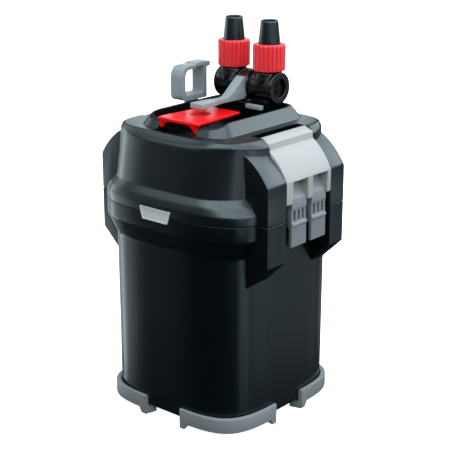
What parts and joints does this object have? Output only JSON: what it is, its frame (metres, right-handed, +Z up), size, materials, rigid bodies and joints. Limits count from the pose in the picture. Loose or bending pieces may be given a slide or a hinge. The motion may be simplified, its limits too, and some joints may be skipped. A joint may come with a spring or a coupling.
{
  "type": "canister filter",
  "caption": "Aquarium canister filter: ribbed-foot canister, clamped pump head with hose valve block, lock nuts, release lever and pull-up primer.",
  "frame": {"origin": "centre of the object's bounding box on the floor plane", "axes": "+Z up, the badge faces -Y, the two clamps face +X and -X"},
  "size_m": [0.1846, 0.1618, 0.3335],
  "materials": {
    "canister_black": "satin moulded, soft highlights",
    "slate_plastic": "fine textured satin",
    "inner_black": "plain moulded",
    "foot_grey": "soft satin",
    "clamp_grey": "satin",
    "tongue_grey": "fine textured",
    "lever_grey": "satin",
    "gloss_red": "glossy",
    "nut_red": "semi-gloss",
    "valve_black": "glossy",
    "silver_badge": "brushed",
    "rubber": "matt",
    "steel": "turned",
    "copper_wire": "enamelled winding",
    "ferrite": "pressed ferrite",
    "white_ceramic": "fired",
    "carbon_media": "granular",
    "filter_foam": "open-cell foam"
  },
  "bodies": {
    "canister_body": {"canister": "canister_black", "foot_front_right": "foot_grey", "foot_front_left": "foot_grey", "foot_rear_right": "foot_grey", "foot_rear_left": "foot_grey"},
    "media_stack": {"lower_basket": "inner_black", "upper_basket": "inner_black", "basket_lid": "inner_black", "lift_handle": "gloss_red", "lower_media": "white_ceramic", "upper_media": "carbon_media", "foam_frame": "inner_black", "foam_pad_inner": "filter_foam", "foam_pad_outer": "filter_foam"},
    "head": {"head_shell": "slate_plastic", "head_base": "inner_black", "finger_saddle": "gloss_red", "seal_ring": "rubber", "badge": "silver_badge", "cord_gland": "rubber", "motor_cover": "inner_black", "stator_core": "steel", "stator_coil_left": "copper_wire", "stator_coil_right": "copper_wire", "impeller_shaft": "white_ceramic", "shaft_bush_top": "rubber", "shaft_bush_bottom": "rubber", "impeller_cover": "inner_black", "inlet_duct": "inner_black", "outlet_duct": "inner_black", "primer_barrel": "inner_black", "left_clamp_pin": "steel", "right_clamp_pin": "steel"},
    "impeller_rotor": {"rotor_magnet": "ferrite", "impeller": "slate_plastic"},
    "right_clamp_body": {"right_clamp": "clamp_grey", "right_tongue_pin": "steel"},
    "left_clamp_body": {"left_clamp": "clamp_grey", "left_tongue_pin": "steel"},
    "right_front_tongue": {"right_tongue_front": "tongue_grey"},
    "right_rear_tongue": {"right_tongue_rear": "tongue_grey"},
    "left_front_tongue": {"left_tongue_front": "tongue_grey"},
    "left_rear_tongue": {"left_tongue_rear": "tongue_grey"},
    "valve": {"valve_body": "valve_black", "valve_stop_bar": "lever_grey", "valve_seal_left": "rubber", "valve_seal_right": "rubber", "hose_nipple_left": "slate_plastic", "hose_nipple_right": "slate_plastic"},
    "valve_lever": {"lever": "lever_grey", "lever_hub": "valve_black", "valve_rotor_left": "valve_black", "valve_rotor_right": "valve_black"},
    "right_nut": {"lock_nut_right": "nut_red"},
    "left_nut": {"lock_nut_left": "nut_red"},
    "primer": {"primer_handle": "lever_grey", "primer_piston": "rubber"}
  },
  "joints": [
    {"name": "head_lift", "type": "slide", "parent": "canister_body", "child": "head", "axis": [0, 0, 1], "range_m": [0, 0.12]},
    {"name": "media_lift", "type": "slide", "parent": "canister_body", "child": "media_stack", "axis": [0, 0, 1], "range_m": [0, 0.06]},
    {"name": "valve_lift", "type": "slide", "parent": "head", "child": "valve", "axis": [0, 0, 1], "range_m": [0, 0.035]},
    {"name": "lever_swing", "type": "hinge", "parent": "valve", "child": "valve_lever", "pos_m": [0, 0.04, 0.2768], "axis": [-1, 0, 0], "range_deg": [0, 80]},
    {"name": "right_nut_spin", "type": "hinge", "parent": "valve", "child": "right_nut", "pos_m": [0.0194, 0.04, 0.3025], "axis": [0, 0, 1], "continuous": true},
    {"name": "left_nut_spin", "type": "hinge", "parent": "valve", "child": "left_nut", "pos_m": [-0.0194, 0.04, 0.3025], "axis": [0, 0, 1], "continuous": true},
    {"name": "primer_slide", "type": "slide", "parent": "head", "child": "primer", "axis": [0, 0, 1], "range_m": [0, 0.024]},
    {"name": "impeller_spin", "type": "hinge", "parent": "head", "child": "impeller_rotor", "pos_m": [0, -0.012, 0.195], "axis": [0, 0, 1], "continuous": true},
    {"name": "right_clamp_swing", "type": "hinge", "parent": "head", "child": "right_clamp_body", "pos_m": [0.0668, 0, 0.2445], "axis": [0, -1, 0], "range_deg": [0, 70]},
    {"name": "right_front_tongue_swing", "type": "hinge", "parent": "right_clamp_body", "child": "right_front_tongue", "pos_m": [0.084, 0, 0.2062], "axis": [0, -1, 0], "range_deg": [0, 20]},
    {"name": "right_rear_tongue_swing", "type": "hinge", "parent": "right_clamp_body", "child": "right_rear_tongue", "pos_m": [0.084, 0, 0.2062], "axis": [0, -1, 0], "range_deg": [0, 20]},
    {"name": "left_clamp_swing", "type": "hinge", "parent": "head", "child": "left_clamp_body", "pos_m": [-0.0668, 0, 0.2445], "axis": [0, 1, 0], "range_deg": [0, 70]},
    {"name": "left_front_tongue_swing", "type": "hinge", "parent": "left_clamp_body", "child": "left_front_tongue", "pos_m": [-0.084, 0, 0.2062], "axis": [0, 1, 0], "range_deg": [0, 20]},
    {"name": "left_rear_tongue_swing", "type": "hinge", "parent": "left_clamp_body", "child": "left_rear_tongue", "pos_m": [-0.084, 0, 0.2062], "axis": [0, 1, 0], "range_deg": [0, 20]}
  ],
  "couplings": [
    {"joint": "media_lift", "follows": "head_lift", "ratio": 0.5}
  ]
}
